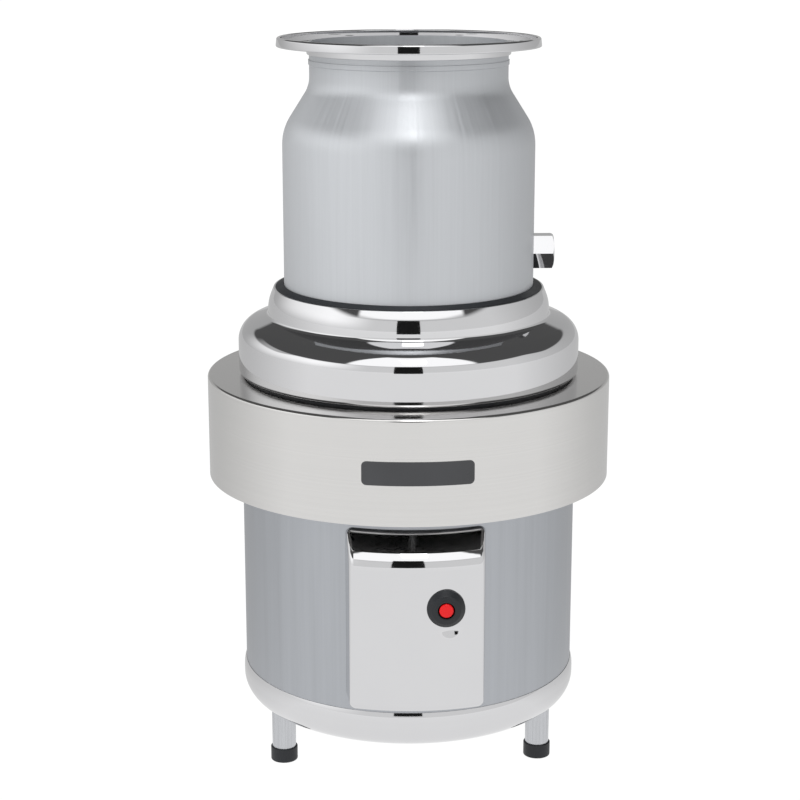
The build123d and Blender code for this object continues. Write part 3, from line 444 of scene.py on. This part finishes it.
def grind_housing():
    mesh = bmesh.new()
    add_turned(mesh, [
        (LIP_R, 424.0), (118.8, 424.0, 0.6), (124.0, 411.5, 36.0), (124.0, 400.0, 4.0), (150.5, 390.6, 18.5),
        (150.5, HOUSING_FOOT, 4.0), (144.0, HOUSING_FOOT), (144.0, 380.0), (118.5, 380.0),
        (118.5, HOUSING_FOOT), (112.0, HOUSING_FOOT), (112.0, 392.0), (RING_R, 392.0), (RING_R, RING_FOOT),
        (LIP_R, RING_FOOT)])
    for centre in sixfold(HOUSING_BOLTS_R):
        add_turned(mesh, [
            (BOSS_HOLE_R, HOUSING_FOOT), (BOSS_R, HOUSING_FOOT), (BOSS_R, BOSS_TOP), (BOSS_HOLE_R, BOSS_TOP)],
            centre, BOSS_FACES)
    piece("housing_dome", mesh, "polished_metal", stands_for=["grind_housing"])


def trim_band():
    mesh = bmesh.new()
    add_turned(mesh, [
        (120.0, 346.1), (120.0, BAND_TOP), (BAND_R, BAND_TOP, 2.6), (BAND_R, BAND_FOOT), (176.8, BAND_FOOT),
        (176.8, 346.1, 1.2)])
    made = piece("band", mesh, "band_steel", stands_for=["trim_band"])
    holes = [rod(BAND_HOLE_R, (x, y, 340.0), (x, y, 352.0), HOLE_FACES) for x, y in sixfold(HOUSING_BOLTS_R)]
    top = rod(DRAIN_NOTCH_R, (0.0, 150.0, DRAIN_HEIGHT), (0.0, 190.0, DRAIN_HEIGHT), DRAIN_FACES)
    notch = bmesh.new()
    middle = Matrix.Translation((0, 0.17, FLOOR + 0.27))
    size = Matrix.Diagonal((2 * DRAIN_NOTCH_R * MM, 0.04, 0.059, 1))
    bmesh.ops.create_cube(notch, size=1.0, matrix=middle @ size)
    cut(made, holes + [top, notch])


mounting_flange()
hopper()
mount_ring()
grind_housing()
trim_band()


# --- Camera, lights and floor -------------------------------------------------------------------

CAMERA_DISTANCE = 1.678
CAMERA_AZIMUTH = radians(2.6)
CAMERA_TILT = radians(14.0377)
CAMERA_HEIGHT = 0.1029
CAMERA_AIM = radians(0.258)
CAMERA_LENS = 86.89
CARD_WIDTH = 0.54
CARD_HEIGHT = 1.02
CARD_DISTANCE = 1.70
CARD_AIM = 0.11
LIGHTS_AIM = 0.35          # above the floor

# The surroundings: angles in degrees above the horizon or to each side, brightness as a share of white.
TENT_TOP = 28.0
TENT_LIGHT = 0.9
FADE_START = -0.35         # the tent and the floor fade from this share of the way rearward
REAR_LIGHT = 0.52
REAR_DIP = 0.127           # how far the tent's edge drops behind the object
LEFT_START = -0.72         # share of the way to the left where the tent is brighter
LEFT_LIGHT = 0.6
SOFTBOX_HALF = 47.0
SOFTBOX_TOP = 78.0
SOFTBOX_LIGHT = 1.5
REAR_HALF = 9.0
REAR_TOP = 50.0
REAR_BOX_LIGHT = 0.65
DARK_LIGHT = 0.10
FLOOR_LIGHT = 1.0
FLOOR_REACH = 30.0
STAGE_ROUGHNESS = 0.9

lens = bpy.data.cameras.new("camera")
lens.lens = CAMERA_LENS
lens.sensor_width = 36.0
lens.clip_end = 100.0
camera = bpy.data.objects.new("camera", lens)
bpy.context.scene.collection.objects.link(camera)
camera.location = (
    -CAMERA_DISTANCE * sin(CAMERA_AZIMUTH), -CAMERA_DISTANCE * cos(CAMERA_AZIMUTH), CAMERA_HEIGHT)
camera.rotation_euler = (pi / 2 - CAMERA_TILT, 0.0, CAMERA_AIM - CAMERA_AZIMUTH)
bpy.context.scene.camera = camera


def hold(thing, aim, azimuth, elevation, distance):
    """Puts a thing at a distance from a point, facing it. Azimuth 0 is the front, positive to the right."""
    away = Vector((sin(azimuth) * cos(elevation), -cos(azimuth) * cos(elevation), sin(elevation)))
    thing.location = Vector(aim) + away * distance
    thing.rotation_mode = "QUATERNION"
    thing.rotation_quaternion = away.to_track_quat("Z", "Y")


def stage_material(name, level):
    """Matt grey for a stage piece."""
    material = bpy.data.materials.new(name)
    material.use_nodes = True
    principled(material).inputs["Base Color"].default_value = (level, level, level, 1)
    principled(material).inputs["Roughness"].default_value = STAGE_ROUGHNESS
    return material


def camera_card():
    """Black card on the camera's side, which only the polished metal sees."""
    mesh = bpy.data.meshes.new("camera_card")
    x, y = CARD_WIDTH / 2, CARD_HEIGHT / 2
    mesh.from_pydata([(-x, -y, 0), (x, -y, 0), (x, y, 0), (-x, y, 0)], [], [(0, 1, 2, 3)])
    mesh.materials.append(stage_material("stage_black", 0.004))
    card = bpy.data.objects.new("camera_card", mesh)
    bpy.context.scene.collection.objects.link(card)
    hold(card, (0, 0, CARD_AIM), -CAMERA_AZIMUTH, 0.0, CARD_DISTANCE)
    card.visible_camera = False
    card.visible_shadow = False
    card.visible_diffuse = False


def softbox(name, width, height, azimuth, elevation, distance, power, mirrored=True):
    """Area light aimed at the object, with its angles in degrees."""
    light = bpy.data.lights.new(name, "AREA")
    light.shape = "RECTANGLE"
    light.size = width
    light.size_y = height
    light.energy = power
    box = bpy.data.objects.new(name, light)
    bpy.context.scene.collection.objects.link(box)
    hold(box, (0, 0, FLOOR + LIGHTS_AIM), radians(azimuth), radians(elevation), distance)
    box.visible_camera = False
    box.visible_glossy = mirrored


camera_card()

pale = stage_material("stage_floor", 0.02)
pale.cycles.emission_sampling = "NONE"
floor_shader = principled(pale)
floor_shader.inputs["Emission Color"].default_value = (1, 1, 1, 1)
ground = bpy.data.meshes.new("floor")
ground.from_pydata(
    [(-FLOOR_REACH, -FLOOR_REACH, FLOOR), (FLOOR_REACH, -FLOOR_REACH, FLOOR),
     (FLOOR_REACH, FLOOR_REACH, FLOOR), (-FLOOR_REACH, FLOOR_REACH, FLOOR)], [], [(0, 1, 2, 3)])
ground.materials.append(pale)
ground = bpy.data.objects.new("floor", ground)
bpy.context.scene.collection.objects.link(ground)

softbox("key", 0.35, 0.6, 2, 50, 1.6, 2.0)
softbox("left", 0.9, 0.9, -42, 42, 1.7, 17, mirrored=False)


class Arithmetic:
    """Builds chains of nodes that reckon with numbers in one node tree."""

    def __init__(self, tree):
        self.nodes = tree.nodes
        self.links = tree.links

    def math(self, operation, *values):
        made = self.nodes.new("ShaderNodeMath")
        made.operation = operation
        for socket, value in zip(made.inputs, values):
            if isinstance(value, (int, float)):
                socket.default_value = value
            else:
                self.links.new(value, socket)
        return made.outputs[0]

    def direction(self, vector):
        """The vector's y and z, and its share to the right and to the rear seen from above."""
        parts = self.nodes.new("ShaderNodeSeparateXYZ")
        self.links.new(vector, parts.inputs[0])
        x, y, z = parts.outputs
        squares = self.math("ADD", self.math("MULTIPLY", x, x), self.math("MULTIPLY", y, y))
        flat = self.math("SQRT", squares)
        return y, z, self.math("DIVIDE", x, flat), self.math("DIVIDE", y, flat)

    def fading(self, rearward):
        """The surroundings' brightness, which fades from the front and sides to the rear."""
        made = self.nodes.new("ShaderNodeMapRange")
        made.inputs["From Min"].default_value = FADE_START
        made.inputs["From Max"].default_value = 1.0
        made.inputs["To Min"].default_value = 1.0
        made.inputs["To Max"].default_value = REAR_LIGHT
        self.links.new(rearward, made.inputs["Value"])
        return made.outputs["Result"]


def light_floor():
    """Gives the floor its own soft light, which fades to the rear except straight to the camera."""
    tree = pale.node_tree
    reckon = Arithmetic(tree)
    place_on_floor = tree.nodes.new("ShaderNodeTexCoord").outputs["Object"]
    rearward = reckon.direction(place_on_floor)[-1]
    light = reckon.math("MULTIPLY", reckon.fading(rearward), FLOOR_LIGHT)
    seen = tree.nodes.new("ShaderNodeLightPath").outputs["Is Camera Ray"]
    tree.links.new(reckon.math("MAXIMUM", light, seen), floor_shader.inputs["Emission Strength"])


def studio():
    """White tent round the object, a softbox above its front, a narrow one behind, and dark above."""
    world = bpy.data.worlds.new("studio")
    world.use_nodes = True
    nodes = world.node_tree.nodes
    links = world.node_tree.links
    reckon = Arithmetic(world.node_tree)
    math = reckon.math

    def above(value, limit, soft=0.03):
        """Rises from 0 to 1 as a value passes a limit."""
        made = nodes.new("ShaderNodeMapRange")
        made.interpolation_type = "SMOOTHSTEP"
        made.inputs["From Min"].default_value = limit - soft
        made.inputs["From Max"].default_value = limit + soft
        links.new(value, made.inputs["Value"])
        return made.outputs["Result"]

    def below(value, limit, soft=0.03):
        return math("SUBTRACT", 1.0, above(value, limit, soft))

    y, z, across, rearward = reckon.direction(nodes.new("ShaderNodeTexCoord").outputs["Generated"])
    side = math("ABSOLUTE", across)
    dipped = math("ADD", z, math("MULTIPLY", above(rearward, 0.1, 0.2), REAR_DIP))
    tent = math("MULTIPLY", below(dipped, sin(radians(TENT_TOP))), TENT_LIGHT)
    tent = math("MULTIPLY", tent, reckon.fading(rearward))
    left = math("MULTIPLY", below(across, LEFT_START, 0.25), below(z, sin(radians(TENT_TOP))))
    left = math("MULTIPLY", left, above(z, 0.1, 0.25))
    front = math("MULTIPLY", below(y, 0.0, 0.01), below(side, sin(radians(SOFTBOX_HALF))))
    front = math("MULTIPLY", front, math("MULTIPLY", above(z, sin(radians(TENT_TOP + 1))),
                                         below(z, sin(radians(SOFTBOX_TOP)), 0.01)))
    rear = math("MULTIPLY", above(y, 0.0, 0.01), below(side, sin(radians(REAR_HALF)), 0.06))
    rear = math("MULTIPLY", rear, math("MULTIPLY", above(z, sin(radians(TENT_TOP + 1))),
                                       below(z, sin(radians(REAR_TOP)))))
    light = math("ADD", tent, math("MULTIPLY", left, LEFT_LIGHT))
    light = math("ADD", light, math("MULTIPLY", front, SOFTBOX_LIGHT))
    light = math("ADD", light, math("MULTIPLY", rear, REAR_BOX_LIGHT))
    light = math("MAXIMUM", light, DARK_LIGHT)
    seen = nodes.new("ShaderNodeLightPath").outputs["Is Camera Ray"]
    light = math("MAXIMUM", light, seen)
    links.new(light, nodes["Background"].inputs["Strength"])
    nodes["Background"].inputs["Color"].default_value = (1, 1, 1, 1)
    bpy.context.scene.world = world


light_floor()
studio()
bpy.context.scene.view_settings.view_transform = "Standard"
